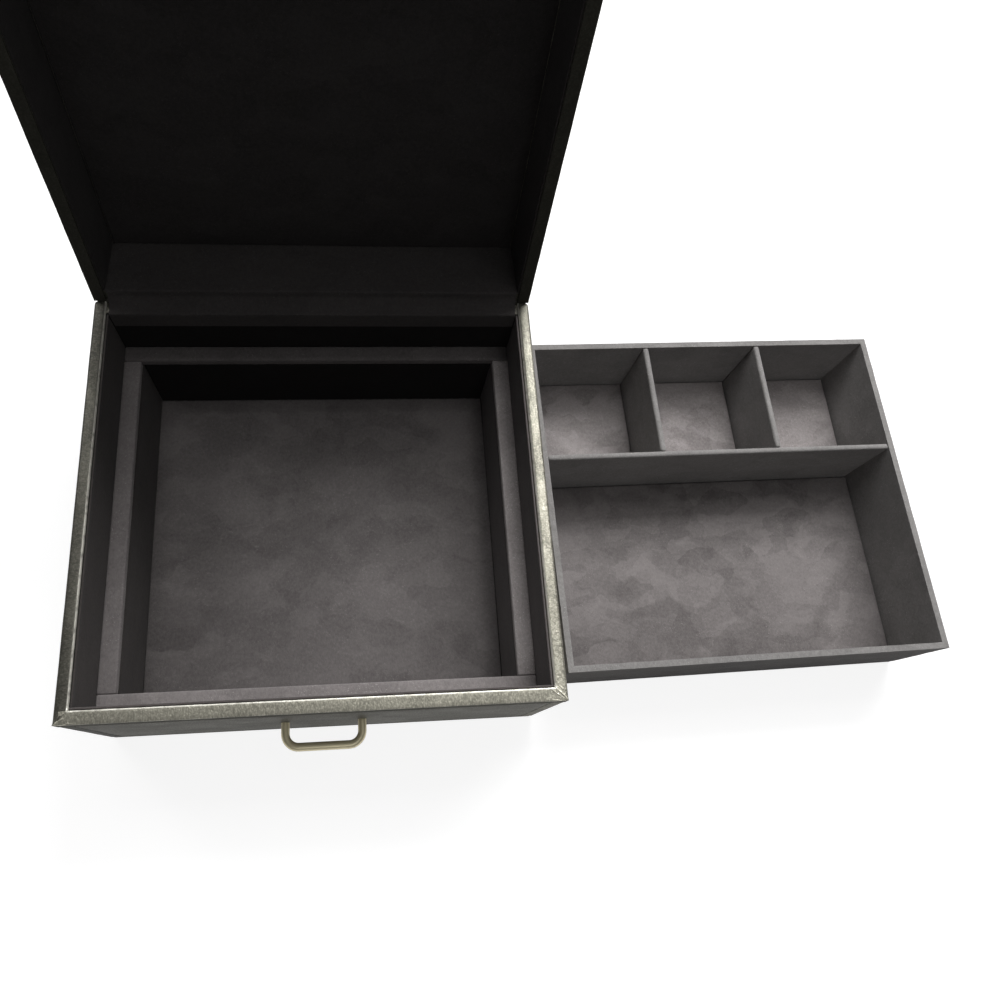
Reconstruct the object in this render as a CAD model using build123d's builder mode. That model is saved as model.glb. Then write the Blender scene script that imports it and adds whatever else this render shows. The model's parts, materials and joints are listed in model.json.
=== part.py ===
"""A leather-covered cufflink and jewellery box: a case with a drawer, a deep hinged lid and a lift-out tray.

The origin is the middle of the case's underside, +X to the right, +Y to the back and +Z up.
The lid stands open against its stop and the tray stands on the table to the right of the case.
All sizes are in millimetres.
"""

from build123d import *
import math
import os

os.makedirs("parts", exist_ok=True)

# ---- Driving dimensions --------------------------------------------------------------------------

# Case
case_width = 250.0
case_depth = 232.0
case_height = 100.0
board = 6.7  # wall of the case and the lid, board and leather together
base_thickness = 4.2
felt_thickness = 0.8
felt_inset = 2.0
rim_round = 1.1  # soft edge of leather folded over a board
corner_round = 2.2  # upright corners
rail_height = 9.0  # front strip over the drawer

# Suede linings and the ledge that carries the tray
lining = 1.1
lining_drop = 1.0  # the linings end this far under the rim
lining_round = 0.35
ledge_width = 10.0
ledge_thickness = 5.0
ledge_depth = 37.0  # from the rim down to the ledge's top
guide_thickness = 4.6  # boards under the ledge that guide the drawer

# Drawer
drawer_seat_gap = 0.7  # behind the drawer front, which closes flush with the boards
drawer_wall = 6.0
drawer_bottom_thickness = 3.0
drawer_pad_thickness = 2.7
drawer_lift = 0.3  # running gap between the drawer and the base
drawer_side_gap = 0.5
drawer_face_gap = 0.6  # round the drawer front
drawer_top_gap = 0.7  # under the ledge
stop_width = 12.0
stop_drop = 2.0
stop_gap = 0.5  # over the drawer's low inner front

# Handle and its screws
handle_rod = 4.6
handle_centres = 41.6
handle_reach = 13.2  # from the drawer front to the middle of the bar
handle_drop = 7.5  # its screws lie this far under the top of the drawer's low inner front
handle_bend = 5.2
handle_screw_radius = 1.25
handle_screw_grip = 6.0  # into each leg
handle_head_radius = 2.5
handle_head_height = 1.8
screw_clearance = 0.1

# Lid
lid_height = 43.0
lid_top_thickness = 4.5
lid_gap = 0.4  # between the rims when it is shut
lid_lean = 9.8  # degrees past upright at the stop
lid_pad_edge = 2.5  # thickness of its padded panel at the sides
lid_pad_crown = 2.6

# Hinge and the suede flap over it
hinge_end_gap = 7.3  # to the side boards
hinge_leaf = 0.6
hinge_leaf_edge = 0.5  # from its free edge to the lining
knuckle_radius = 1.5
knuckle_count = 15
knuckle_gap = 0.2
knuckle_clearance = 0.3
pin_radius = 0.75
pin_fit = 0.05
pin_head_radius = 1.2
pin_head_height = 0.5
hinge_screw_count = 6
hinge_screw_radius = 0.8
hinge_screw_head_radius = 1.4
hinge_screw_length = 7.0
hinge_screw_edge = 2.3  # from the leaf's free edge
hinge_screw_clearance = 0.05
flap_thickness = 0.5
flap_gap = 0.6  # between its folded halves when the lid is shut
flap_side_gap = 0.7
flap_hang = 12.0

# Lift-out tray
tray_clearance_x = 2.0  # total, inside the linings
tray_clearance_y = 7.4  # room for the fingers
tray_height = 59.0
tray_wall = 3.6
tray_bottom_thickness = 3.6
tray_pad_thickness = 6.5
tray_row_depth = 73.1  # back row, inside
tray_round = 0.9
tray_beside = 9.6  # from the case's side to the middle of the tray's left side
tray_behind = 9.1  # its middle is this far behind the case's middle
tray_turn = 1.1  # degrees

# Pads
pad_gap = 0.4
pad_round = 1.1
pad_crown = 0.9

# ---- Places worked out from them -----------------------------------------------------------------

half_width = case_width / 2
half_depth = case_depth / 2
inner_x = half_width - board
inner_y = half_depth - board
lined_x = inner_x - lining
lined_y = inner_y - lining
ledge_x = lined_x - ledge_width
ledge_y = lined_y - ledge_width

base_top = felt_thickness + base_thickness
ledge_top = case_height - ledge_depth
ledge_under = ledge_top - ledge_thickness
rail_under = case_height - rail_height
lining_top = case_height - lining_drop

# At the hinge the two back walls give way to the leaves and the folded flap
flap_low = flap_gap / 2
leaf_low = flap_low + flap_thickness
hinge_seat = leaf_low + hinge_leaf
hinge_length = 2 * (inner_x - hinge_end_gap)
hinge_leaf_width = board - hinge_leaf_edge
hinge_screw_setback = hinge_leaf_width - hinge_screw_edge
groove_radius = knuckle_radius + knuckle_clearance

drawer_front_thickness = board - drawer_seat_gap
drawer_x = inner_x - guide_thickness - drawer_side_gap
drawer_inner_x = drawer_x - drawer_wall
drawer_face_x = inner_x - drawer_face_gap
drawer_face_back = drawer_front_thickness - half_depth
drawer_back_y = inner_y - guide_thickness - drawer_side_gap
drawer_floor = base_top + drawer_lift
drawer_wall_low = drawer_floor + drawer_bottom_thickness
drawer_top = ledge_under - drawer_top_gap
drawer_front_top = ledge_under - stop_drop - stop_gap
drawer_face_low = base_top + drawer_face_gap
drawer_face_top = rail_under - drawer_face_gap
handle_z = drawer_front_top - handle_drop

lid_wall_top = lid_gap / 2 + lid_height - lid_top_thickness

tray_width = 2 * lined_x - tray_clearance_x
tray_depth = 2 * lined_y - tray_clearance_y
tray_x = tray_width / 2
tray_y = tray_depth / 2
tray_inner_x = tray_x - tray_wall
tray_inner_y = tray_y - tray_wall
row_wall_back = tray_inner_y - tray_row_depth
row_wall_front = row_wall_back - tray_wall
small_width = (2 * tray_inner_x - 2 * tray_wall) / 3

# ---- Frames --------------------------------------------------------------------------------------

lean = math.radians(lid_lean)
turn = math.radians(tray_turn)
ground = Plane.XY
shut_hinge = Plane(origin=(0, half_depth, case_height + lid_gap / 2), x_dir=(1, 0, 0), z_dir=(0, 0, 1))
# The lid's own frame sits on the hinge's axis: its Y and Z would be the case's if the lid were shut
open_lid = Plane(
    origin=shut_hinge.origin,
    x_dir=(1, 0, 0),
    z_dir=(0, math.cos(lean), -math.sin(lean)),
)
tray_frame = Plane(
    origin=(half_width + tray_beside + tray_x, tray_behind, 0),
    x_dir=(math.cos(turn), math.sin(turn), 0),
    z_dir=(0, 0, 1),
)

# ---- Helpers -------------------------------------------------------------------------------------


def middle(span):
    return (span[0] + span[1]) / 2


def length(span):
    return span[1] - span[0]


def both(half):
    return (-half, half)


def block(frame, x_span, y_span, z_span, mode=Mode.ADD):
    """A square block between the given spans of the frame's own axes."""
    with BuildSketch(frame.offset(z_span[0])) as outline:
        with Locations((middle(x_span), middle(y_span))):
            Rectangle(length(x_span), length(y_span))
    extrude(outline.sketch, amount=length(z_span), mode=mode)


def mitred_block(frame, points, z_span):
    """An upright block over a plan outline given by its corners."""
    with BuildSketch(frame.offset(z_span[0])) as outline:
        with BuildLine():
            Polyline(*points, close=True)
        make_face()
    extrude(outline.sketch, amount=length(z_span))


def far_edges(piece, along, towards):
    """The straight edges that run one way and lie furthest out the other way."""
    return piece.edges().filter_by(Axis((0, 0, 0), along)).group_by(Axis((0, 0, 0), towards))[-1]


def padded(piece, frame, x_span, y_span, z_span, crown):
    """A soft panel: its upper face rises to a crown across its width and rolls over at its edges."""
    top = frame.from_local_coords((middle(x_span), middle(y_span), z_span[1]))
    half = length(x_span) / 2
    with BuildSketch(Plane(top, x_dir=frame.x_dir, z_dir=-frame.y_dir)) as section:
        with BuildLine():
            arch = ThreePointArc((-half, -crown), (0, 0), (half, -crown))
            Polyline(arch @ 1, (half, -length(z_span)), (-half, -length(z_span)), arch @ 0)
        make_face()
    extrude(section.sketch, amount=length(y_span) / 2, both=True)
    upper = piece.faces().sort_by(Axis(frame.origin, frame.z_dir))[-1]
    fillet(upper.edges(), pad_round)


def spread(count, span):
    """Positions of equally spaced fixings along a length, with half a step left at each end."""
    return [span * ((i + 0.5) / count - 0.5) for i in range(count)]


def finish(piece, name):
    piece.part.label = name
    export_step(piece.part, f"parts/{name}.step")


# ---- Case ----------------------------------------------------------------------------------------

with BuildPart() as base_felt:
    block(ground, both(half_width - felt_inset), both(half_depth - felt_inset), (0, felt_thickness))
finish(base_felt, "base_felt")

with BuildPart() as base_board:
    block(ground, both(half_width), both(half_depth), (felt_thickness, base_top))
    fillet(base_board.edges().filter_by(Axis.Z), corner_round)
finish(base_board, "base_board")

with BuildPart() as case_left_side:
    block(ground, (-half_width, -inner_x), both(half_depth), (base_top, rail_under))
    side_corners = [
        (-half_width, -half_depth),
        (-inner_x, -inner_y),
        (-inner_x, half_depth),
        (-half_width, half_depth),
    ]
    mitred_block(ground, side_corners, (rail_under, case_height))
    fillet(far_edges(case_left_side, (0, 0, 1), (-1, 1, 0)), corner_round)
    fillet(far_edges(case_left_side, (0, 1, 0), (0, 0, 1)), rim_round)
finish(case_left_side, "case_left_side")

with BuildPart() as case_right_side:
    mirror(case_left_side.part, about=Plane.YZ)
finish(case_right_side, "case_right_side")

with BuildPart() as front_rail:
    rail_corners = [
        (-half_width, -half_depth),
        (half_width, -half_depth),
        (inner_x, -inner_y),
        (-inner_x, -inner_y),
    ]
    mitred_block(ground, rail_corners, (rail_under, case_height))
    fillet(far_edges(front_rail, (1, 0, 0), (0, 0, 1)), rim_round)
finish(front_rail, "front_rail")

hinge_screws_x = spread(hinge_screw_count, hinge_length)

with BuildPart() as case_back:
    block(
        shut_hinge,
        both(inner_x),
        (-board, 0),
        (base_top - shut_hinge.origin.Z, -hinge_seat),
    )
    with Locations(shut_hinge.origin):
        Cylinder(groove_radius, 2 * inner_x, rotation=(0, 90, 0), mode=Mode.SUBTRACT)
    with BuildSketch(shut_hinge.offset(-hinge_seat)):
        with Locations(*[(x, -hinge_screw_setback) for x in hinge_screws_x]):
            Circle(hinge_screw_radius + hinge_screw_clearance)
    extrude(amount=-hinge_screw_length, mode=Mode.SUBTRACT)
finish(case_back, "case_back")

for name, x_span in (("left", (-inner_x, -lined_x)), ("right", (lined_x, inner_x))):
    with BuildPart() as side_lining:
        block(ground, x_span, both(lined_y), (ledge_under, lining_top))
        fillet(far_edges(side_lining, (0, 1, 0), (0, 0, 1)), lining_round)
    finish(side_lining, f"case_{name}_lining")

for name, y_span in (("front", (-inner_y, -lined_y)), ("back", (lined_y, inner_y))):
    with BuildPart() as end_lining:
        block(ground, both(inner_x), y_span, (ledge_under, lining_top))
        fillet(far_edges(end_lining, (1, 0, 0), (0, 0, 1)), lining_round)
    finish(end_lining, f"case_{name}_lining")

ledge_strips = {
    "ledge_front": (both(lined_x), (-lined_y, -ledge_y)),
    "ledge_back": (both(lined_x), (ledge_y, lined_y)),
    "ledge_left": ((-lined_x, -ledge_x), both(ledge_y)),
    "ledge_right": ((ledge_x, lined_x), both(ledge_y)),
}
for name, (x_span, y_span) in ledge_strips.items():
    with BuildPart() as ledge_strip:
        block(ground, x_span, y_span, (ledge_under, ledge_top))
    finish(ledge_strip, name)

guide_boards = {
    "drawer_guide_left": ((-inner_x, guide_thickness - inner_x), both(inner_y)),
    "drawer_guide_right": ((inner_x - guide_thickness, inner_x), both(inner_y)),
    "drawer_guide_back": (both(inner_x - guide_thickness), (inner_y - guide_thickness, inner_y)),
}
for name, (x_span, y_span) in guide_boards.items():
    with BuildPart() as guide_board:
        block(ground, x_span, y_span, (base_top, ledge_under))
    finish(guide_board, name)

with BuildPart() as drawer_stops:
    for side in (-1, 1):
        stop_x = sorted((side * drawer_inner_x, side * (drawer_inner_x - stop_width)))
        block(ground, stop_x, (-lined_y, -ledge_y), (ledge_under - stop_drop, ledge_under))
finish(drawer_stops, "drawer_stops")

# ---- Drawer --------------------------------------------------------------------------------------

handle_legs = [(side * handle_centres / 2, handle_z) for side in (-1, 1)]
face_plane = Plane(origin=(0, -half_depth, 0), x_dir=(1, 0, 0), z_dir=(0, -1, 0))
inside_plane = face_plane.offset(-drawer_front_thickness - drawer_wall)

with BuildPart() as drawer_front:
    block(
        ground,
        both(drawer_face_x),
        (-half_depth, drawer_face_back),
        (drawer_face_low, drawer_face_top),
    )
    outer_face = drawer_front.faces().sort_by(Axis.Y)[0]
    fillet(outer_face.edges(), rim_round)
    with BuildSketch(face_plane):
        with Locations(*handle_legs):
            Circle(handle_screw_radius + screw_clearance)
    extrude(amount=-drawer_front_thickness, mode=Mode.SUBTRACT)
finish(drawer_front, "drawer_front")

with BuildPart() as drawer_inner_front:
    block(
        ground,
        both(drawer_inner_x),
        (drawer_face_back, drawer_face_back + drawer_wall),
        (drawer_wall_low, drawer_front_top),
    )
    with BuildSketch(inside_plane):
        with Locations(*handle_legs):
            Circle(handle_screw_radius + screw_clearance)
    extrude(amount=drawer_wall, mode=Mode.SUBTRACT)
    with BuildSketch(inside_plane):
        with Locations(*handle_legs):
            Circle(handle_head_radius + screw_clearance)
    extrude(amount=handle_head_height, mode=Mode.SUBTRACT)
finish(drawer_inner_front, "drawer_inner_front")

for name, x_span in (("left", (-drawer_x, -drawer_inner_x)), ("right", (drawer_inner_x, drawer_x))):
    with BuildPart() as drawer_side:
        block(ground, x_span, (drawer_face_back, drawer_back_y), (drawer_wall_low, drawer_top))
    finish(drawer_side, f"drawer_{name}_side")

with BuildPart() as drawer_back:
    block(
        ground,
        both(drawer_inner_x),
        (drawer_back_y - drawer_wall, drawer_back_y),
        (drawer_wall_low, drawer_top),
    )
finish(drawer_back, "drawer_back")

with BuildPart() as drawer_bottom:
    block(ground, both(drawer_x), (drawer_face_back, drawer_back_y), (drawer_floor, drawer_wall_low))
finish(drawer_bottom, "drawer_bottom")

with BuildPart() as drawer_pad:
    padded(
        drawer_pad,
        ground,
        both(drawer_inner_x - pad_gap),
        (drawer_face_back + drawer_wall + pad_gap, drawer_back_y - drawer_wall - pad_gap),
        (drawer_wall_low, drawer_wall_low + drawer_pad_thickness),
        pad_crown,
    )
finish(drawer_pad, "drawer_pad")

with BuildPart() as handle:
    with BuildLine(Plane.XY.offset(handle_z)) as handle_path:
        FilletPolyline(
            (-handle_centres / 2, -half_depth),
            (-handle_centres / 2, -half_depth - handle_reach),
            (handle_centres / 2, -half_depth - handle_reach),
            (handle_centres / 2, -half_depth),
            radius=handle_bend,
        )
    with BuildSketch(face_plane):
        with Locations(handle_legs[0]):
            Circle(handle_rod / 2)
    sweep(path=handle_path.wire())
    with BuildSketch(face_plane):
        with Locations(*handle_legs):
            Circle(handle_screw_radius + screw_clearance)
    extrude(amount=handle_screw_grip, mode=Mode.SUBTRACT)
finish(handle, "handle")

with BuildPart() as handle_screws:
    with BuildSketch(inside_plane):
        with Locations(*handle_legs):
            Circle(handle_head_radius)
    extrude(amount=handle_head_height)
    with BuildSketch(inside_plane):
        with Locations(*handle_legs):
            Circle(handle_screw_radius)
    extrude(amount=drawer_wall + drawer_front_thickness + handle_screw_grip)
finish(handle_screws, "handle_screws")

# ---- Lid, drawn as if shut in the frame of its hinge -----------------------------------------------

lid_up = open_lid.z_dir
lid_back_way = open_lid.y_dir
lid_rim = lid_gap / 2
lid_front_y = -case_depth

with BuildPart() as lid_top:
    block(open_lid, both(half_width), (lid_front_y, 0), (lid_wall_top, lid_wall_top + lid_top_thickness))
    fillet(lid_top.edges().filter_by(Axis((0, 0, 0), lid_up)), corner_round)
    top_face = lid_top.faces().sort_by(Axis(open_lid.origin, lid_up))[-1]
    fillet(top_face.edges(), rim_round)
finish(lid_top, "lid_top")

for name, side in (("left", -1), ("right", 1)):
    with BuildPart() as lid_side:
        corners = [
            (side * half_width, lid_front_y),
            (side * inner_x, lid_front_y + board),
            (side * inner_x, 0),
            (side * half_width, 0),
        ]
        mitred_block(open_lid, corners, (lid_rim, lid_wall_top))
        outward = Vector(side, 0, 0) + lid_back_way
        fillet(far_edges(lid_side, lid_up, outward), corner_round)
        fillet(far_edges(lid_side, lid_back_way, -lid_up), rim_round)
    finish(lid_side, f"lid_{name}_side")

with BuildPart() as lid_front:
    front_corners = [
        (-half_width, lid_front_y),
        (half_width, lid_front_y),
        (inner_x, lid_front_y + board),
        (-inner_x, lid_front_y + board),
    ]
    mitred_block(open_lid, front_corners, (lid_rim, lid_wall_top))
    fillet(far_edges(lid_front, (1, 0, 0), -lid_up), rim_round)
finish(lid_front, "lid_front")

with BuildPart() as lid_back:
    block(open_lid, both(inner_x), (-board, 0), (hinge_seat, lid_wall_top))
    with Locations(open_lid.origin):
        Cylinder(groove_radius, 2 * inner_x, rotation=(0, 90, 0), mode=Mode.SUBTRACT)
    with BuildSketch(open_lid.offset(hinge_seat)):
        with Locations(*[(x, -hinge_screw_setback) for x in hinge_screws_x]):
            Circle(hinge_screw_radius + hinge_screw_clearance)
    extrude(amount=hinge_screw_length, mode=Mode.SUBTRACT)
finish(lid_back, "lid_back")

lid_lining_span = (lid_rim + lining_drop, lid_wall_top)
lid_lined_front = lid_front_y + board + lining
lid_lined_back = -board - lining
for name, x_span in (("left", (-inner_x, -lined_x)), ("right", (lined_x, inner_x))):
    with BuildPart() as lid_side_lining:
        block(open_lid, x_span, (lid_lined_front, lid_lined_back), lid_lining_span)
        fillet(far_edges(lid_side_lining, lid_back_way, -lid_up), lining_round)
    finish(lid_side_lining, f"lid_{name}_lining")

lid_ends = {
    "lid_front_lining": (lid_front_y + board, lid_lined_front),
    "lid_back_lining": (lid_lined_back, -board),
}
for name, y_span in lid_ends.items():
    with BuildPart() as lid_end_lining:
        block(open_lid, both(inner_x), y_span, lid_lining_span)
        fillet(far_edges(lid_end_lining, (1, 0, 0), -lid_up), lining_round)
    finish(lid_end_lining, name)

# The padded panel faces down into the lid, so its frame looks the other way
pad_face = Plane(
    origin=open_lid.from_local_coords((0, (lid_lined_front + lid_lined_back) / 2, lid_wall_top)),
    x_dir=(1, 0, 0),
    z_dir=-lid_up,
)
with BuildPart() as lid_pad:
    padded(
        lid_pad,
        pad_face,
        both(lined_x - pad_gap),
        both((lid_lined_back - lid_lined_front) / 2 - pad_gap),
        (0, lid_pad_edge + lid_pad_crown),
        lid_pad_crown,
    )
finish(lid_pad, "lid_pad")

# ---- Hinge -----------------------------------------------------------------------------------------

knuckle_pitch = hinge_length / knuckle_count
knuckle_length = knuckle_pitch - knuckle_gap
knuckle_starts = [i * knuckle_pitch - hinge_length / 2 + knuckle_gap / 2 for i in range(knuckle_count)]


def hinge_leaf_part(frame, seat_side, own_first):
    """A leaf with every other knuckle; seat_side is -1 for the case's leaf and 1 for the lid's."""
    leaf_z = sorted((seat_side * leaf_low, seat_side * hinge_seat))
    others = knuckle_starts[1 - own_first :: 2]
    with BuildPart() as leaf:
        block(frame, both(hinge_length / 2 - knuckle_gap / 2), (-hinge_leaf_width, 0), leaf_z)
        for start in knuckle_starts[own_first::2]:
            across = Plane(frame.from_local_coords((start, 0, 0)), x_dir=frame.y_dir, z_dir=frame.x_dir)
            with BuildSketch(across) as knuckle:
                Circle(knuckle_radius)
            extrude(knuckle.sketch, amount=knuckle_length)
        for start in others:
            room = (start - knuckle_gap, start + knuckle_length + knuckle_gap)
            block(frame, room, (-groove_radius, knuckle_radius), both(groove_radius), Mode.SUBTRACT)
        bore = Plane(frame.from_local_coords((-hinge_length / 2, 0, 0)), x_dir=frame.y_dir, z_dir=frame.x_dir)
        with BuildSketch(bore) as bore_circle:
            Circle(pin_radius + pin_fit)
        extrude(bore_circle.sketch, amount=hinge_length, mode=Mode.SUBTRACT)
        for x in hinge_screws_x:
            seat = frame.from_local_coords((x, -hinge_screw_setback, seat_side * leaf_low))
            hole = Solid.make_cone(
                hinge_screw_head_radius + hinge_screw_clearance,
                hinge_screw_radius + hinge_screw_clearance,
                hinge_leaf,
                Plane(seat, x_dir=frame.x_dir, z_dir=frame.z_dir * seat_side),
            )
            add(hole, mode=Mode.SUBTRACT)
    return leaf


def hinge_screw_group(frame, seat_side):
    """Countersunk screws, one solid each, driven away from the hinge's gap."""
    with BuildPart() as screws:
        for x in hinge_screws_x:
            seat = frame.from_local_coords((x, -hinge_screw_setback, seat_side * leaf_low))
            down = Plane(seat, x_dir=frame.x_dir, z_dir=frame.z_dir * seat_side)
            with BuildSketch(down) as head:
                Circle(hinge_screw_head_radius)
            with BuildSketch(down.offset(hinge_leaf)) as neck:
                Circle(hinge_screw_radius)
            loft([head.sketch, neck.sketch])
            extrude(neck.sketch, amount=hinge_screw_length)
    return screws


def flap_half(frame, seat_side):
    """Half of the suede flap: it lies on its leaf and turns down over the lining."""
    rim_z = sorted((seat_side * flap_low, seat_side * leaf_low))
    hang_z = sorted((seat_side * flap_low, seat_side * (leaf_low + flap_hang)))
    face = -board - lining
    with BuildPart() as flap:
        block(frame, both(lined_x - flap_side_gap), (face - flap_thickness, -groove_radius), rim_z)
        block(frame, both(lined_x - flap_side_gap), (face - flap_thickness, face), hang_z)
    return flap


finish(hinge_leaf_part(shut_hinge, -1, 0), "hinge_case_leaf")
finish(hinge_leaf_part(open_lid, 1, 1), "hinge_lid_leaf")
finish(hinge_screw_group(shut_hinge, -1), "hinge_case_screws")
finish(hinge_screw_group(open_lid, 1), "hinge_lid_screws")
finish(flap_half(shut_hinge, -1), "hinge_flap_lower")
finish(flap_half(open_lid, 1), "hinge_flap_upper")

with BuildPart() as hinge_pin:
    pin_plane = Plane(shut_hinge.origin, x_dir=(0, 1, 0), z_dir=(1, 0, 0))
    pin_half = hinge_length / 2 - knuckle_gap / 2
    with BuildSketch(pin_plane.offset(-pin_half)):
        Circle(pin_radius)
    extrude(amount=2 * pin_half)
    with BuildSketch(pin_plane.offset(pin_half), pin_plane.offset(-pin_half - pin_head_height)):
        Circle(pin_head_radius)
    extrude(amount=pin_head_height)
finish(hinge_pin, "hinge_pin")

# ---- Tray, in its own frame on the table ------------------------------------------------------------

tray_wall_span = (tray_bottom_thickness, tray_height)

with BuildPart() as tray_bottom:
    block(tray_frame, both(tray_x), both(tray_y), (0, tray_bottom_thickness))
finish(tray_bottom, "tray_bottom")

tray_boards = {
    "tray_left_side": ((-tray_x, -tray_inner_x), both(tray_y)),
    "tray_right_side": ((tray_inner_x, tray_x), both(tray_y)),
    "tray_front": (both(tray_inner_x), (-tray_y, -tray_inner_y)),
    "tray_back": (both(tray_inner_x), (tray_inner_y, tray_y)),
    "tray_row_divider": (both(tray_inner_x), (row_wall_front, row_wall_back)),
    "tray_left_divider": (
        (-small_width / 2 - tray_wall, -small_width / 2),
        (row_wall_back, tray_inner_y),
    ),
    "tray_right_divider": (
        (small_width / 2, small_width / 2 + tray_wall),
        (row_wall_back, tray_inner_y),
    ),
}
for name, (x_span, y_span) in tray_boards.items():
    with BuildPart() as tray_board:
        block(tray_frame, x_span, y_span, tray_wall_span)
        long_way = tray_frame.x_dir if length(x_span) > length(y_span) else tray_frame.y_dir
        fillet(far_edges(tray_board, long_way, (0, 0, 1)), tray_round)
    finish(tray_board, name)

small_row = (row_wall_back, tray_inner_y)
small_edge = small_width / 2
tray_spaces = {
    "tray_front_pad": (both(tray_inner_x), (-tray_inner_y, row_wall_front)),
    "tray_left_pad": ((-tray_inner_x, -small_edge - tray_wall), small_row),
    "tray_middle_pad": (both(small_edge), small_row),
    "tray_right_pad": ((small_edge + tray_wall, tray_inner_x), small_row),
}
for name, (x_span, y_span) in tray_spaces.items():
    with BuildPart() as tray_pad:
        padded(
            tray_pad,
            tray_frame,
            (x_span[0] + pad_gap, x_span[1] - pad_gap),
            (y_span[0] + pad_gap, y_span[1] - pad_gap),
            (tray_bottom_thickness, tray_bottom_thickness + tray_pad_thickness),
            pad_crown,
        )
    finish(tray_pad, name)
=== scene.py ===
"""Looks of a leather-covered cufflink and jewellery box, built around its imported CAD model.

The case stands open with its lift-out tray beside it. All sizes are in metres.
"""

import json
import math
from contextlib import contextmanager

import bmesh
import bpy
import numpy as np
from bpy.props import FloatProperty, FloatVectorProperty, PointerProperty
from mathutils import Matrix, Vector


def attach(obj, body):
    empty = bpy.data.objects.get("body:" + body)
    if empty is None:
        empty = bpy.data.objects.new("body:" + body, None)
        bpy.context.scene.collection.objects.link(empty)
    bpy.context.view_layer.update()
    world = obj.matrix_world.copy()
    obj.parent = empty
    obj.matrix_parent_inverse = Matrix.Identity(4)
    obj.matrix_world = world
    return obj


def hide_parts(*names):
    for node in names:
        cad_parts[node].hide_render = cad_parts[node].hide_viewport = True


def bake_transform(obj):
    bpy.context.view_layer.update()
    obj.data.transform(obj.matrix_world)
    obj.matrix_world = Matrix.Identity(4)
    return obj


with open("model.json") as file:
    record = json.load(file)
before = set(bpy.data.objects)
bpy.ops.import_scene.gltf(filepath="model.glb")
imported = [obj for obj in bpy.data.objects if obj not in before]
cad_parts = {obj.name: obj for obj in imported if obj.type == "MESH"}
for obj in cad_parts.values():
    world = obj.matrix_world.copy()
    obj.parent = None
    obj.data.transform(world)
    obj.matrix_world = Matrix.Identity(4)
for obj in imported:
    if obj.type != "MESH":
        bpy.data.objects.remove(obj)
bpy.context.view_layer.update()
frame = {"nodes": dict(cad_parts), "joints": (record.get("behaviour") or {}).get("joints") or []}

bl_info = {
    "name": "Jewellery box",
    "version": (1, 0, 0),
    "blender": (4, 5, 0),
    "location": "View3D > Sidebar > Jewellery box",
    "description": "Models the covered boards, pads, hinge flap and metalwork of a jewellery box",
    "category": "Object",
}

MM = 0.001

# ---- Frames in which the pieces are straight ------------------------------------------------------

LID_LEAN = math.radians(9.8)
TRAY_TURN = math.radians(1.1)
HINGE = Vector(next(j for j in frame["joints"] if j["name"] == "lid_hinge")["pos_m"])
CASE = Matrix.Identity(4)
# Here the lid's Y and Z would be the case's if the lid were shut
LID = Matrix.Translation(HINGE) @ Matrix.Rotation(-math.pi / 2 - LID_LEAN, 4, "X")
TRAY = Matrix.Rotation(TRAY_TURN, 4, "Z")


def node_span(node, place=CASE):
    """A CAD node's lowest and highest corners in one of the frames."""
    back = place.inverted()
    points = np.array([back @ v.co for v in frame["nodes"][node].data.vertices])
    return Vector(points.min(0)), Vector(points.max(0))


# ---- Sizes and colours a user would change ----------------------------------------------------------


def size(name, description, default):
    return FloatProperty(
        name=name, description=description, default=default, min=0, unit="LENGTH", precision=5
    )


def colour(name, description, default):
    return FloatVectorProperty(
        name=name, description=description, default=default, size=3, subtype="COLOR", min=0, max=1
    )


class BoxSizes(bpy.types.PropertyGroup):
    leather_round: size("Leather edge", "Radius of the leather where it turns over a board", 1.5 * MM)
    leather_seam: size("Leather seam", "Radius of the leather at a mitre", 0.3 * MM)
    leather_fold: size("Leather fold", "How far the leather stands up at a mitre", 0.3 * MM)
    handle_bend: size("Handle bend", "Radius of the handle's bends at the middle of its rod", 7.2 * MM)
    leather_wave: size("Leather unevenness", "How far the glued leather rises and falls", 0.22 * MM)
    leather_cell: size("Leather cell", "Length of the mesh cells along a leather board", 2.5 * MM)
    suede_round: size("Suede edge", "Radius of the suede where it turns over a board", 1.4 * MM)
    suede_wave: size("Suede unevenness", "How far the glued suede rises and falls", 0.15 * MM)
    suede_cell: size("Suede cell", "Length of the mesh cells along a suede board", 2.8 * MM)
    pad_cell: size("Pad cell", "Length of the mesh cells of a pad", 4.5 * MM)
    pad_rise: size("Pad rise", "The most a pad's suede lifts when it is filled", 0.9 * MM)
    flap_thickness: size("Flap thickness", "Thickness of the suede flap over the hinge", 0.5 * MM)
    flap_valley: size("Flap valley", "Radius of the flap's bend in front of the hinge", 3.4 * MM)
    cover_reach: size("Cover reach", "How far the hinge's leather cover reaches onto each board", 7.0 * MM)
    flap_crease: size("Flap creases", "Height of the creases in the flap", 0.45 * MM)


class BoxColours(bpy.types.PropertyGroup):
    leather_dark: colour("Leather, low", "Leather in the pores of its grain", (0.030, 0.029, 0.021))
    leather_light: colour("Leather, high", "Leather on top of its grain", (0.50, 0.48, 0.40))
    suede_dark: colour("Suede, away", "Suede brushed away from the eye", (0.088, 0.080, 0.079))
    suede_light: colour("Suede, towards", "Suede brushed towards the eye", (0.215, 0.198, 0.195))
    brass: colour("Handle", "Pale gold plating", (0.98, 0.88, 0.60))
    steel: colour("Hinge", "Nickel plating", (0.55, 0.54, 0.52))
    paper: colour("Board", "Dark paper on the hidden boards", (0.045, 0.042, 0.040))
    felt: colour("Felt", "Felt under the case", (0.020, 0.020, 0.021))


def sizes():
    return bpy.context.scene.box_sizes


def colours():
    return bpy.context.scene.box_colours


# ---- Materials --------------------------------------------------------------------------------------


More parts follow.
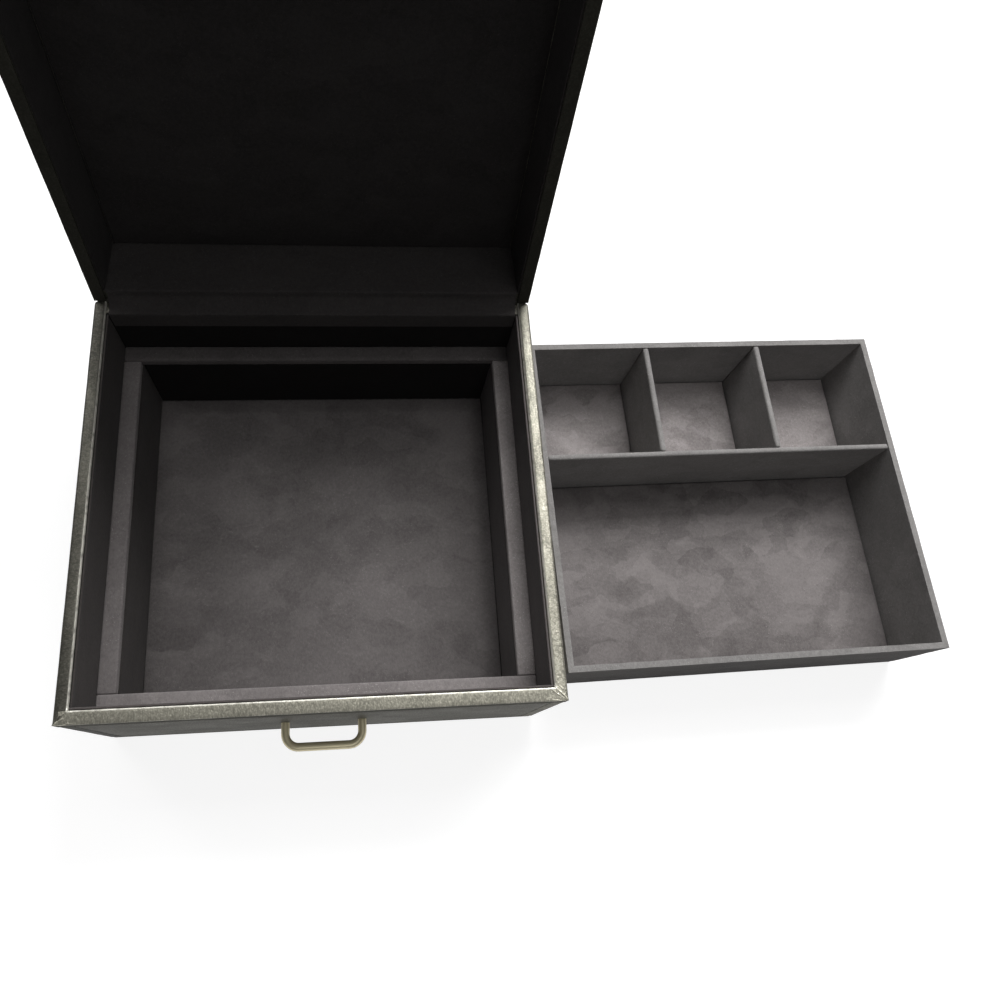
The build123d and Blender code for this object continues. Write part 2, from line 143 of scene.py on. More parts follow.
class Value:
    """A shader value that takes part in plain arithmetic."""

    def __init__(self, finish, socket):
        self.finish = finish
        self.socket = socket

    def math(self, operation, *others):
        inputs = {i: value for i, value in enumerate((self, *others))}
        return self.finish.node("ShaderNodeMath", {"operation": operation}, inputs)

    def __add__(self, other):
        return self.math("ADD", other)

    def __sub__(self, other):
        return self.math("SUBTRACT", other)

    def __mul__(self, other):
        return self.math("MULTIPLY", other)

    def __pow__(self, other):
        return self.math("POWER", other)

    def __rsub__(self, other):
        return self * -1.0 + other

    __radd__ = __add__
    __rmul__ = __mul__

    def clamped(self):
        return self.finish.node("ShaderNodeClamp", None, {0: self})

    def between(self, low, high):
        """0 below low, 1 above high and a soft step between."""
        settings = {"interpolation_type": "SMOOTHSTEP"}
        return self.finish.node("ShaderNodeMapRange", settings, {0: self, 1: low, 2: high})


class Finish:
    """The nodes of one material, or of the world."""

    def __init__(self, name, owners=None):
        self.owner = (bpy.data.materials if owners is None else owners).new(name)
        self.owner.use_nodes = True
        self.tree = self.owner.node_tree
        self.tree.nodes.clear()
        self.place = self.node("ShaderNodeTexCoord", None, None, "Object")

    def node(self, kind, settings=None, inputs=None, output=0):
        """Adds a node, sets it and its sockets, and gives one of its outputs."""
        made = self.tree.nodes.new(kind)
        for key, value in (settings or {}).items():
            setattr(made, key, value)
        for key, value in (inputs or {}).items():
            if isinstance(value, Value):
                self.tree.links.new(value.socket, made.inputs[key])
            else:
                made.inputs[key].default_value = value
        return Value(self, made.outputs[output]) if len(made.outputs) else None

    def vectors(self, operation, inputs, output=0):
        return self.node("ShaderNodeVectorMath", {"operation": operation}, inputs, output)

    def place_part(self, axis):
        """One of the Object coordinates."""
        return self.node("ShaderNodeSeparateXYZ", None, {0: self.place}, axis)

    def stretched(self, scale, turn=0.0):
        inputs = {"Vector": self.place, "Scale": scale, "Rotation": (0, 0, turn)}
        return self.node("ShaderNodeMapping", None, inputs)

    def noise(self, per_metre, detail=2.0, at=None, rough=0.5, warp=0.0):
        inputs = {
            "Vector": at or self.place,
            "Scale": per_metre,
            "Detail": detail,
            "Roughness": rough,
            "Distortion": warp,
        }
        return self.node("ShaderNodeTexNoise", None, inputs, "Fac")

    def cells(self, per_metre, at=None, feature="F1", output="Distance"):
        inputs = {"Vector": at or self.place, "Scale": per_metre}
        return self.node("ShaderNodeTexVoronoi", {"feature": feature}, inputs, output)

    def pushed(self, per_metre, far):
        """Object coordinates pushed about by a noise, so that a pattern on them wanders."""
        inputs = {"Vector": self.place, "Scale": per_metre, "Detail": 3.0}
        push = self.node("ShaderNodeTexNoise", None, inputs, "Color")
        centred = self.vectors("SUBTRACT", {0: push, 1: (0.5, 0.5, 0.5)})
        return self.vectors("ADD", {0: self.place, 1: self.vectors("SCALE", {0: centred, "Scale": far})})

    def cell_shade(self, per_metre, at, channel):
        """A grey that is even within each cell of a pattern."""
        shades = self.cells(per_metre, at, "F1", "Color")
        return self.node("ShaderNodeSeparateColor", None, {0: shades}, channel)

    def mixed(self, share, first, second):
        """A colour between two others."""
        inputs = {0: share, 6: rgba(first), 7: rgba(second)}
        return self.node("ShaderNodeMix", {"data_type": "RGBA"}, inputs, 2)

    def seen_by(self, ray):
        """1 where a kind of ray meets the surface, else 0."""
        return self.node("ShaderNodeLightPath", None, None, f"Is {ray} Ray")

    def bump(self, height, depth, strength):
        inputs = {"Height": height, "Distance": depth, "Strength": strength}
        return self.node("ShaderNodeBump", None, inputs)

    def shade(self, inputs):
        """Closes the material with a Principled shader."""
        surface = self.node("ShaderNodeBsdfPrincipled", None, inputs)
        self.node("ShaderNodeOutputMaterial", None, {"Surface": surface})
        return self.owner


def rgba(tone):
    return tone if isinstance(tone, Value) else (*tone, 1.0)


def scaled(tone, share):
    return [min(1.0, c * share) for c in tone]


# Heights between which the case's rim is turned down over its boards; the leather there gets painted shade, the
# shade under the rim's edge
RAIL_LOW, RAIL_HIGH = node_span("front_rail")
TURNED_FROM, TURNED_TO = RAIL_LOW.z + 0.3 * MM, RAIL_HIGH.z - 1.0 * MM
RIM_INSIDE_X, RIM_INSIDE_Y = node_span("case_right_side")[0].x, RAIL_HIGH.y
CASE_CORNER = node_span("case_right_side")[1].x, RAIL_LOW.y
# Colour of the painted highlight along the rim's inner edge
EDGE_HIGHLIGHT_TONE = (0.82, 0.80, 0.72)
LID_RIM_NORMAL = LID.to_3x3() @ Vector((0, 0, 1))

# How often the patterns of leather and suede repeat in a metre
SAND, PEBBLE, FLECKS, MOTTLE = 1500, 1150, 620, 48
FIBRE, NAP, PILLS, PILLED_PLACES = 1500, 520, 1050, 60
SWEPT_PATCHES, STROKED_PATCHES, BRUSHED_PATCHES, CLOUDS = 62, 105, 34, 9
SCRIBBLES, SCRIBBLED_PLACES = 150, 26


def leather(name, stretch, rim=0.0, smooth=0.0, shine=1.0, lightness=1.0, hinge_shade=0.0, lid_rim_shade=False):
    """Crushed leather with a pewter foil on it: sandy grain, bright on its tops and dark in its pores.

    rim is how much painted shade the rim's turned-down face gets, the shade under the rim's edge; the sides'
    front ends below it are darkened and dulled as well, and a rim gets a painted highlight along its inside
    edge. The argument after lightness paints shade towards the hinge: foil falls off along the box towards it
    and rises towards the front (the other way round where the share is negative). The last argument paints
    shade on the lid's rim faces.
    """
    finish = Finish(name)
    at = finish.stretched(stretch)
    sand = finish.noise(SAND, 2.0, at, 0.55)
    pebble = finish.cells(PEBBLE, at, "SMOOTH_F1")
    flecks = finish.noise(FLECKS, 2.0, at, 0.5)
    mottle = finish.noise(MOTTLE, 4.0, finish.stretched((stretch[1], stretch[0], 1.0)), 0.6, 0.6)
    grain = sand * 0.7 + (1.0 - pebble) * 0.4
    tops = grain.between(0.46, 0.86)
    worn = mottle.between(0.22, 0.78)
    foil = tops * (0.36 - 0.16 * smooth) + flecks.between(0.35, 0.7) * (0.15 - 0.08 * smooth)
    foil = foil + worn * (0.24 - 0.14 * smooth) + (0.14 + 0.1 * smooth)
    bright, fans = 1.0, 0.0
    # Painted shade towards the hinge, where the lid shades the rim: the foil falls off along the box towards it
    # and rises towards the front; a negative share turns it round
    if hinge_shade:
        foil = foil * (1.0 - finish.place_part(1) * hinge_shade)
    # Painted shade on the turned-down face under the rim's edge; the sides' front ends below it are darkened
    # and dulled to match the drawer's face
    if rim:
        height = finish.place_part(2)
        turned = height.between(TURNED_FROM - 0.4 * MM, TURNED_FROM + 0.4 * MM)
        over = height.between(TURNED_TO - 0.5 * MM, TURNED_TO + 0.4 * MM)
        front_end = 1.0 - finish.place_part(1).between(CASE_CORNER[1] + 0.4 * MM, CASE_CORNER[1] + 1.3 * MM)
        bright = (1.0 - turned * (1.0 - over) * rim) * (1.0 - front_end * (1.0 - turned) * 0.6)
        fans = corner_creases(finish)
    # Painted shade on the lid's rim faces, which are darkened and dulled
    if lid_rim_shade:
        along = finish.vectors("DOT_PRODUCT", {0: finish.place, 1: LID_RIM_NORMAL}, "Value")
        bright = (along - HINGE.dot(LID_RIM_NORMAL)).between(0.8 * MM, 2.4 * MM)
    if rim or lid_rim_shade:
        foil = foil * (bright * 0.88 + 0.12)
    # The creases' ridges are lightened: a painted highlight on them, besides their real bump
    foil = (foil + fans * 0.12).clamped()
    dark, light = (scaled(tone, lightness) for tone in (colours().leather_dark, colours().leather_light))
    tone = finish.mixed(foil, dark, light)
    if rim:
        # Painted highlight along the rim's inner edge, broken up along its length
        edge_highlight = inner_edge_highlight(finish) * height.between(TURNED_TO - 0.6 * MM, TURNED_TO)
        tone = finish.mixed(edge_highlight, tone, EDGE_HIGHLIGHT_TONE)
    return finish.shade({
        "Base Color": tone,
        "Metallic": (foil * 0.35 + 0.55) * (bright * shine),
        "Roughness": 0.40 - tops * 0.1 + (1.0 - worn) * 0.08 + 0.2 * (1.0 - shine) + (1.0 - bright) * 0.5,
        "Normal": finish.bump(grain + flecks * 0.5 + mottle * 1.2 + fans * 0.9, 0.16 * MM, 0.8),
        "Specular IOR Level": 0.4 * shine,
    })


def inner_edge_highlight(finish):
    """The rim's inner edge, where it turns down into the case, with a painted highlight along it."""
    side = finish.place_part(0).math("ABSOLUTE") - RIM_INSIDE_X
    across = side.math("MAXIMUM", RIM_INSIDE_Y - finish.place_part(1))
    broken = finish.noise(260, 2.0).between(0.25, 0.55)
    return (1.0 - across.between(0.35 * MM, 1.0 * MM)) * (broken * 0.6 + 0.4)


def corner_creases(finish):
    """Small creases that fan out from the front corners, where the leather is folded under."""
    across = CASE_CORNER[0] - finish.place_part(0).math("ABSOLUTE")
    back = finish.place_part(1) - CASE_CORNER[1]
    away = (across * across + back * back) ** 0.5
    wander = finish.noise(160, 2.0)
    crease = (across.math("ARCTAN2", back) * 11.0 + wander * 7.0).math("SINE")
    return crease.between(0.55, 1.0) * (1.0 - away.between(5 * MM, 15 * MM))


def suede(name, lightness, turn, patchy, tint=(1.0, 1.0, 1.0), pilled=0.0):
    """Brushed suede: patches of pile that lie different ways, fine fibres, strokes and pilled specks."""
    finish = Finish(name)
    tones = (colours().suede_dark, colours().suede_light)
    dark, light = ([c * lightness * t for c, t in zip(tone, tint)] for tone in tones)
    inputs = {"Vector": finish.pushed(60, 14 * MM), "Scale": (0.65, 1.0, 1.0), "Rotation": (0, 0, turn)}
    strokes = finish.node("ShaderNodeMapping", None, inputs)
    swept = finish.cell_shade(SWEPT_PATCHES, strokes, 0)
    stroked = finish.cell_shade(STROKED_PATCHES, strokes, 1)
    brushed = finish.noise(BRUSHED_PATCHES, 3.0, strokes, 0.5, 0.6).between(0.45, 0.56)
    edges = finish.cells(SCRIBBLES, finish.pushed(120, 10 * MM), "DISTANCE_TO_EDGE").between(0.01, 0.07)
    scribble = (1.0 - edges) * finish.noise(SCRIBBLED_PLACES, 2.0).between(0.48, 0.62)
    cloud = finish.noise(CLOUDS, 2.0)
    fibre = finish.noise(FIBRE, 2.0, finish.stretched((1.0, 0.5, 1.0), turn), 0.6)
    nap = finish.noise(NAP, 3.0, None, 0.65)
    specks = finish.noise(PILLS, 1.0).between(0.66 - 0.03 * pilled, 0.74)
    pills = specks * finish.noise(PILLED_PLACES, 2.0).between(0.4, 0.6)
    patches = (brushed - 0.5) * 0.22 + (swept - 0.5) * 0.26 + (stroked - 0.5) * 0.16 + scribble * 0.06
    pile = 0.40 + patches * patchy + (cloud - 0.5) * 0.3
    pile = pile + (fibre - 0.5) * 0.5 + (nap - 0.5) * 0.6 + pills * (0.35 + 0.3 * pilled)
    height = fibre * 0.6 + nap * 0.9 + brushed * 0.3 + pills * 0.8 + scribble * 0.1
    return finish.shade({
        "Base Color": finish.mixed(pile.clamped(), dark, light),
        "Roughness": 0.92 + (fibre - 0.5) * 0.1,
        "Normal": finish.bump(height, 0.18 * MM, 0.8),
        "Specular IOR Level": 0.1,
        # Sheen falls with the lightness, so that the shaded copies keep their painted shade
        "Sheen Weight": 0.18 * min(1.0, lightness),
        "Sheen Roughness": 0.5,
        "Sheen Tint": (0.9, 0.86, 0.86, 1.0),
    })


def satin_metal(name, dark_share, rough, metallic=1.0):
    """Plated metal with a fine satin brushing and a little tarnish."""
    finish = Finish(name)
    plating = getattr(colours(), name)
    brushing = finish.noise(2600, 2.0, finish.stretched((0.08, 1.0, 1.0)), 0.6)
    tarnish = finish.noise(55, 3.0, None, 0.6).between(0.5, 0.9)
    return finish.shade({
        "Base Color": finish.mixed(tarnish * 0.5, plating, scaled(plating, dark_share)),
        "Metallic": metallic,
        "Roughness": rough + (brushing - 0.5) * 0.12 + tarnish * 0.08,
        "Normal": finish.bump(brushing, 0.01 * MM, 0.4),
    })


def papered_board(name):
    """Fibreboard under dark paper, with its fibres showing."""
    finish = Finish(name)
    fibre = finish.noise(700, 4.0, finish.stretched((1.0, 0.3, 1.0)), 0.65)
    shows = (fibre * 0.6 + finish.noise(35, 2.0) * 0.4).between(0.35, 0.75)
    return finish.shade({
        "Base Color": finish.mixed(shows, colours().paper, scaled(colours().paper, 2.1)),
        "Roughness": 0.82 + (fibre - 0.5) * 0.15,
        "Normal": finish.bump(fibre, 0.08 * MM, 0.6),
        "Specular IOR Level": 0.3,
    })


def felt(name):
    """Black wool felt: matted fibres."""
    finish = Finish(name)
    matted = finish.noise(800, 4.0, finish.pushed(300, 2 * MM), 0.7)
    return finish.shade({
        "Base Color": finish.mixed(matted.between(0.35, 0.7), colours().felt, scaled(colours().felt, 2.6)),
        "Roughness": 0.95,
        "Normal": finish.bump(matted, 0.3 * MM, 0.9),
        "Specular IOR Level": 0.1,
        "Sheen Weight": 0.3,
    })


PLAIN = (1.0, 1.0, 1.0)
# Each finish's maker and what it is given after the name
FINISHES = {
    # Each leather finish is the one leather at its own lightness and shine. The lightness is set to how lit
    # each region is, which paints light and shade: the left side, at about a third of the right side's, is
    # painted shade, its rim having nothing bright to reflect.
    "leather_rail": (leather, (1.0, 0.6, 1.0), 1.0, 0.3, 1.0, 1.25),
    "leather_side": (leather, (0.8, 0.9, 1.0), 0.3, 0.0, 1.0, 1.05, 5.0),
    "leather_left": (leather, (0.8, 0.9, 1.0), 0.4, 0.2, 0.9, 0.36, -0.5),
    "leather_face": (leather, (1.0, 1.0, 0.5), 0.0, 1.0, 0.2, 0.66),
    "leather_back": (leather, (0.9, 0.9, 0.9), 0.0, 0.3, 0.6, 0.6),
    "leather_lid": (leather, (0.9, 0.9, 0.9), 0.0, 0.3, 0.6, 0.6, 0.0, True),
    # The suede finishes are the one suede at a lightness per region, set to how lit each region is, which
    # paints light and shade: the back lining and drawer back as lying in the lid's shadow, the lid's lining,
    # pad and flap as shade, the left wall and ledge darker than the right, and the tray's small pads lighter as
    # painted light.
    "suede_case": (suede, 1.0, 0.2, 0.7),
    "suede_lining": (suede, 0.62, 0.2, 0.3, (1.0, 0.98, 0.97)),
    "suede_left": (suede, 0.38, 0.2, 0.3, (1.0, 0.98, 0.95)),
    "suede_back": (suede, 0.09, 0.2, 0.3),
    "suede_ledge": (suede, 1.6, 1.2, 0.4, PLAIN, 1.0),
    "suede_ledge_left": (suede, 1.25, 1.2, 0.4, PLAIN, 1.0),
    "suede_ledge_right": (suede, 2.1, 1.2, 0.4, PLAIN, 1.0),
    "suede_ledge_back": (suede, 0.75, 1.2, 0.4, PLAIN, 1.0),
    "suede_lid": (suede, 0.24, 0.6, 0.5),
    "suede_flap": (suede, 0.38, 0.6, 0.3, PLAIN, 0.5),
    "suede_tray": (suede, 1.6, 0.5, 0.4, (0.95, 1.0, 0.99), 0.7),
    "suede_pad": (suede, 1.13, -0.5, 1.0),
    "suede_small": (suede, 1.8, 0.9, 1.0),
    "suede_pale": (suede, 2.2, -0.2, 0.9),
    "brass": (satin_metal, 0.85, 0.40, 0.4),
    "steel": (satin_metal, 0.7, 0.3),
    "board": (papered_board,),
    "felt": (felt,),
}
MADE = {}


def finish_of(name):
    """A material by name, made the first time it is asked for."""
    if name not in MADE:
        maker, *looks = FINISHES[name]
        MADE[name] = maker(name, *looks)
    return MADE[name]


def paint(piece, finish):
    piece.data.materials.clear()
    piece.data.materials.append(finish_of(finish))


# ---- Modelling --------------------------------------------------------------------------------------

# Points closer than this are at one place, and edges that turn by more radians than SHARP are rounded
SAME = 0.01 * MM
SHARP = 0.5
SMOOTH_BELOW = math.radians(50)


def clear_selection():
    bpy.ops.object.select_all(action="DESELECT")


def only(piece):
    clear_selection()
    piece.select_set(True)
    bpy.context.view_layer.objects.active = piece


@contextmanager
def editing():
    """Edit mode while a piece is shaped."""
    bpy.ops.object.mode_set(mode="EDIT")
    yield
    bpy.ops.object.mode_set(mode="OBJECT")


def added(name, extent):
    """Names the primitive that was just added and gives it its size."""
    piece = bpy.context.object
    piece.name = piece.data.name = name
    piece.scale = extent
    bpy.ops.object.transform_apply(location=True, rotation=True, scale=True)
    return piece


def take_all():
    bpy.ops.mesh.select_mode(type="FACE")
    bpy.ops.mesh.select_all(action="SELECT")


def cut_across(point, normal):
    """In edit mode, cuts the piece along a plane."""
    bpy.ops.mesh.select_all(action="SELECT")
    bpy.ops.mesh.bisect(plane_co=point, plane_no=normal)


def face_outwards():
    bpy.ops.mesh.select_all(action="SELECT")
    bpy.ops.mesh.normals_make_consistent(inside=False)


def pick(piece, kind, rule):
    """In edit mode, selects the points, edges or faces that fit a rule."""
    bpy.ops.mesh.select_mode(type=kind)
    bpy.ops.mesh.select_all(action="DESELECT")
    shape = bmesh.from_edit_mesh(piece.data)
    items = {"VERT": shape.verts, "EDGE": shape.edges, "FACE": shape.faces}[kind]
    for item in items:
        if rule(item):
            item.select_set(True)
    shape.select_flush_mode()
    bmesh.update_edit_mesh(piece.data)


def divide(piece, cuts, rule):
    """In edit mode, cuts the edges that fit a rule."""
    pick(piece, "EDGE", rule)
    bpy.ops.mesh.subdivide(number_cuts=cuts)


def near(value, target, slack=0.3 * MM):
    return abs(value - target) < slack


def runs_along(edge, axis):
    way = edge.verts[1].co - edge.verts[0].co
    return abs(way[axis]) > 0.99 * way.length


def middle_of(item):
    return sum((v.co for v in item.verts), Vector()) / len(item.verts)


def block(name, low, high, cell):
    """A block between two corners, cut into cells of about the given sizes."""
    clear_selection()
    extent = high - low
    bpy.ops.mesh.primitive_cube_add(size=1, location=(low + high) / 2)
    piece = added(name, extent)
    with editing():
        for axis in range(3):
            cuts = round(extent[axis] / cell[axis]) - 1
            if cuts > 0:
                divide(piece, cuts, lambda e: runs_along(e, axis))
    return piece


def plan(name, low, high):
    """A board's outline seen from above, as one face at its lowest height."""
    clear_selection()
    middle, extent = (low + high) / 2, high - low
    bpy.ops.mesh.primitive_plane_add(size=1, location=(middle.x, middle.y, low.z))
    return added(name, (extent.x, extent.y, 1))


def raise_plan(steps, rise):
    """In edit mode, raises the selected faces in steps."""
    for _ in range(steps):
        bpy.ops.mesh.extrude_region_move(TRANSFORM_OT_translate={"value": (0, 0, rise / steps)})


def ring(name, low, high, wall, cell):
    """Four boards in one covering: a frame of the given wall, raised from its plan."""
    middle, extent = (low + high) / 2, high - low
    piece = plan(name, low, high)

    def outside(vert):
        off = vert.co - middle
        return near(abs(off.x), extent.x / 2, SAME) or near(abs(off.y), extent.y / 2, SAME)

    with editing():
        take_all()
        bpy.ops.mesh.inset(thickness=wall)
        bpy.ops.mesh.delete(type="FACE")
        for axis in (0, 1):
            divide(piece, round(extent[axis] / cell) - 1, lambda e: runs_along(e, axis))
        divide(piece, 1, lambda e: outside(e.verts[0]) != outside(e.verts[1]))
        take_all()
        raise_plan(round(extent.z / cell), extent.z)
        face_outwards()
    return piece


def apply_modifier(piece, kind, settings):
    only(piece)
    modifier = piece.modifiers.new(kind.lower(), kind)
    for key, value in settings.items():
        setattr(modifier, key, value)
    bpy.ops.object.modifier_apply(modifier=modifier.name)


def soften(piece, width, rules, default=0.0, segments=4):
    """Rounds the sharp edges.

    Each edge gets the share of the width that goes with the first rule that fits its middle and direction.
    """
    shape = bmesh.new()
    shape.from_mesh(piece.data)
    layer = shape.edges.layers.float.new("bevel_weight_edge")
    for edge in shape.edges:
        if len(edge.link_faces) == 2 and edge.calc_face_angle() > SHARP:
            middle, way = middle_of(edge), (edge.verts[1].co - edge.verts[0].co).normalized()
            edge[layer] = next((share for rule, share in rules if rule(middle, way)), default)
    shape.to_mesh(piece.data)
    shape.free()
    apply_modifier(piece, "BEVEL", {
        "limit_method": "WEIGHT",
        "width": width,
        "segments": segments,
        "harden_normals": False,
    })


def uneven(piece, height, grain):
    """Raises and lowers the surface as glued cloth or leather lies over board."""
    texture = bpy.data.textures.new(f"{piece.name}_wave", "CLOUDS")
    texture.noise_scale = grain
    texture.noise_depth = 2
    apply_modifier(piece, "DISPLACE", {
        "texture": texture,
        "texture_coords": "LOCAL",
        "direction": "NORMAL",
        "mid_level": 0.5,
        "strength": height,
    })
    bpy.data.textures.remove(texture)


def settle(piece, place, body, slot, finish, *nodes):
    """Turns a finished piece from its own frame into the model's, paints it, ties it to its body and hides the
    CAD nodes it stands for.
    """
    only(piece)
    piece.matrix_world = place
    bpy.ops.object.transform_apply(location=True, rotation=True, scale=True)
    bpy.ops.object.shade_smooth_by_angle(angle=SMOOTH_BELOW)
    paint(piece, finish)
    if body:
        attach(piece, body)
    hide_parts(*nodes)
    return piece


def board_cells(extent, cell):
    """Cells along a board's length and height, and two across its thickness."""
    return [side / 2 if side == min(extent) else cell for side in extent]


def suede_board(node, place, body, finish, width=None, lean=None):
    """A board wrapped in suede, with soft, slightly uneven edges. A lean moves its top edge to one side."""
    low, high = node_span(node, place)
    piece = block(f"{node}_cloth", low, high, board_cells(high - low, sizes().suede_cell))
    if lean:
        with editing():
            pick(piece, "VERT", lambda v: near(v.co.z, high.z, 0.05 * MM))
            bpy.ops.transform.translate(value=lean)
    limit = min(high - low) * 0.42
    soften(piece, min(width or sizes().suede_round, limit), [], 1.0, 3)
    uneven(piece, sizes().suede_wave, 9 * MM)
    return settle(piece, place, body, "suede", finish, node)


def taper(piece, axis, side, across, from_value, to_value, change):
    """In edit mode, slides the end of a board so that it becomes a mitre.

    Points at the end on the given side move along the axis in proportion to how far they lie across it.
    """
    levels = sorted({round(v.co[across], 6) for v in bmesh.from_edit_mesh(piece.data).verts})
    for level in levels:
        move = [0.0, 0.0, 0.0]
        move[axis] = change * (level - from_value) / (to_value - from_value)
        if abs(move[axis]) > 1e-7:
            pick(piece, "VERT", lambda v: near(v.co[axis], side, SAME) and near(v.co[across], level, SAME))
            bpy.ops.transform.translate(value=move)


def fold(piece, corner, side, off, top):
    """In edit mode, lifts the leather where two turned-in ends meet on a mitre."""
    normal = Vector((1, side, 0)).normalized()
    cut_across(corner + normal * off, normal)
    mitred = lambda v: abs((v.co - corner).dot(normal)) < 0.05 * MM
    pick(piece, "VERT", lambda v: near(v.co.z, top, 0.05 * MM) and mitred(v))
    bpy.ops.transform.translate(value=(0, 0, sizes().leather_fold))


def seam_share():
    """How much of a turned edge's radius a seam has."""
    return sizes().leather_seam / sizes().leather_round


# How far from a mitre its fold starts, and how far apart the waves of the glued leather are
FOLD_AWAY = 1.2 * MM
CASE_WAVES, LID_WAVES, FACE_WAVES = 14 * MM, 18 * MM, 16 * MM


def cover(piece, rules, default, place, body, finish, node, waves=CASE_WAVES):
    """Turns leather over a board's edges, glues it down a little unevenly and settles it."""
    soften(piece, sizes().leather_round, rules, default)
    uneven(piece, sizes().leather_wave, waves)
    settle(piece, place, body, "leather", finish, node)


# ---- Operators, one for each piece or group of like pieces --------------------------------------------


class BOX_OT_leather_case(bpy.types.Operator):
    """Covers the case's boards in leather"""

    bl_idname = "box.leather_case"
    bl_label = "Leather of the case"

    def execute(self, context):
        for side, name in ((-1, "case_left_side"), (1, "case_right_side")):
            case_side(name, side)
        front_rail()
        back_board("case_back", CASE, "case", "leather_back")
        return {"FINISHED"}


def case_side(node, side):
    """A side board: full below the rail, mitred beside it."""
    low, high = node_span(node)
    rail_z = RAIL_LOW.z
    thick = high.x - low.x
    outer = low.x if side < 0 else high.x
    mitre_y = low.y + thick
    outside = lambda p: (p.x - outer) * -side < (p.y - low.y) - 0.05 * MM
    piece = plan(f"{node}_leather", low, high)
    with editing():
        cut_across((0, mitre_y, 0), (0, 1, 0))
        cut_across((outer, low.y, 0), (1, side, 0))
        cuts = round((high.y - mitre_y) / sizes().leather_cell) - 1
        divide(piece, cuts, lambda e: runs_along(e, 1) and middle_of(e).y > mitre_y)
        divide(piece, 1, lambda e: runs_along(e, 0) and middle_of(e).y > mitre_y - 0.1 * MM)
        take_all()
        raise_plan(round((rail_z - low.z) / (2 * sizes().leather_cell)), rail_z - low.z)
        pick(piece, "FACE", lambda f: near(middle_of(f).z, rail_z, SAME) and outside(middle_of(f)))
        raise_plan(3, high.z - rail_z)
        face_outwards()
        fold(piece, Vector((outer, low.y, 0)), side, side * FOLD_AWAY, high.z)
    cover(piece, [
        (lambda m, w: near(m.z, low.z), 0.2),
        (lambda m, w: near(m.z, high.z) and abs(w.y) > 0.99, 1.0),
        (lambda m, w: near(m.z, high.z) and abs(w.x) > 0.5 and m.y < 0, seam_share()),
        (lambda m, w: m.z > rail_z + 0.1 * MM and abs(w.z) > 0.9 and m.y < 0, seam_share()),
        (lambda m, w: abs(w.z) > 0.9 and near(m.y, low.y) and near(m.x, outer), 0.7),
        (lambda m, w: abs(w.z) > 0.9 and near(m.y, high.y) and near(m.x, outer), 1.2),
    ], 0.12, CASE, "case", "leather_left" if side < 0 else "leather_side", node)


def front_rail():
    """The strip over the drawer, mitred at both ends."""
    low, high = RAIL_LOW, RAIL_HIGH
    thick = high.y - low.y
    piece = block("front_rail_leather", low, high, (sizes().leather_cell, thick / 3, (high.z - low.z) / 3))
    with editing():
        for side, end in ((-1, low.x), (1, high.x)):
            taper(piece, 0, end, 1, low.y, high.y, -side * thick)
            fold(piece, Vector((end, low.y, 0)), side, -side * FOLD_AWAY, high.z)
    cover(piece, [
        (lambda m, w: near(m.z, high.z) and abs(w.x) > 0.99, 1.0),
        (lambda m, w: near(m.z, low.z) and abs(w.x) > 0.99, 0.45),
    ], seam_share(), CASE, "case", "leather_rail", "front_rail")


def back_board(node, place, body, finish):
    """A board between the sides; its rim is hidden by the flap."""
    low, high = node_span(node, place)
    cell = 2 * sizes().leather_cell
    piece = block(f"{node}_leather", low, high, (cell, 3.3 * MM, cell))
    soften(piece, sizes().leather_round, [(lambda m, w: abs(w.x) > 0.99, 0.4)], 0.1)
    uneven(piece, sizes().leather_wave * 0.6, CASE_WAVES)
    settle(piece, place, body, "leather", finish, node)


class BOX_OT_leather_lid(bpy.types.Operator):
    """Covers the lid's boards in leather"""

    bl_idname = "box.leather_lid"
    bl_label = "Leather of the lid"

    def execute(self, context):
        back_board("lid_back", LID, "lid", "leather_lid")
        lid_front()
        for side, node in ((-1, "lid_left_side"), (1, "lid_right_side")):
            lid_side(node, side)
        lid_top()
        return {"FINISHED"}


def lid_front():
    """The board opposite the hinge, mitred at both ends."""
    low, high = node_span("lid_front", LID)
    thick, cell = high.y - low.y, sizes().leather_cell
    piece = block("lid_front_leather", low, high, (cell, thick / 3, 2 * cell))
    with editing():
        for side, end in ((-1, low.x), (1, high.x)):
            taper(piece, 0, end, 1, low.y, high.y, -side * thick)
    cover(piece, [
        (lambda m, w: near(m.z, low.z) and abs(w.x) > 0.99, 1.0),
        (lambda m, w: near(m.z, high.z), 0.05),
    ], seam_share(), LID, "lid", "leather_lid", "lid_front")


def lid_side(node, side):
    """A side board of the lid, mitred at its front end over the front board's thickness."""
    low, high = node_span(node, LID)
    front_low, front_high = node_span("lid_front", LID)
    inner, outer = (high.x, low.x) if side < 0 else (low.x, high.x)
    thick, cell = front_high.y - front_low.y, sizes().leather_cell
    piece = block(f"{node}_leather", low, high, (thick / 3, cell, 2 * cell))
    with editing():
        taper(piece, 1, low.y, 0, outer, inner, thick)
    cover(piece, [
        (lambda m, w: near(m.z, low.z) and abs(w.y) > 0.99, 1.0),
        (lambda m, w: near(m.z, high.z), 0.05),
        (lambda m, w: abs(w.z) > 0.9 and near(m.y, high.y) and near(m.x, outer), 1.2),
    ], seam_share(), LID, "lid", "leather_lid", node)


def lid_top():
    """The lid's top board, in one covering with rounded corners."""
    low, high = node_span("lid_top", LID)
    cell = 2 * sizes().leather_cell
    piece = block("lid_top_leather", low, high, (cell, cell, 2.3 * MM))
    soften(piece, 2.2 * MM, [
        (lambda m, w: abs(w.z) > 0.9, 1.0),
        (lambda m, w: near(m.z, high.z), 0.7),
    ], 0.03)
    uneven(piece, sizes().leather_wave, LID_WAVES)
    settle(piece, LID, "lid", "leather", "leather_lid", "lid_top")


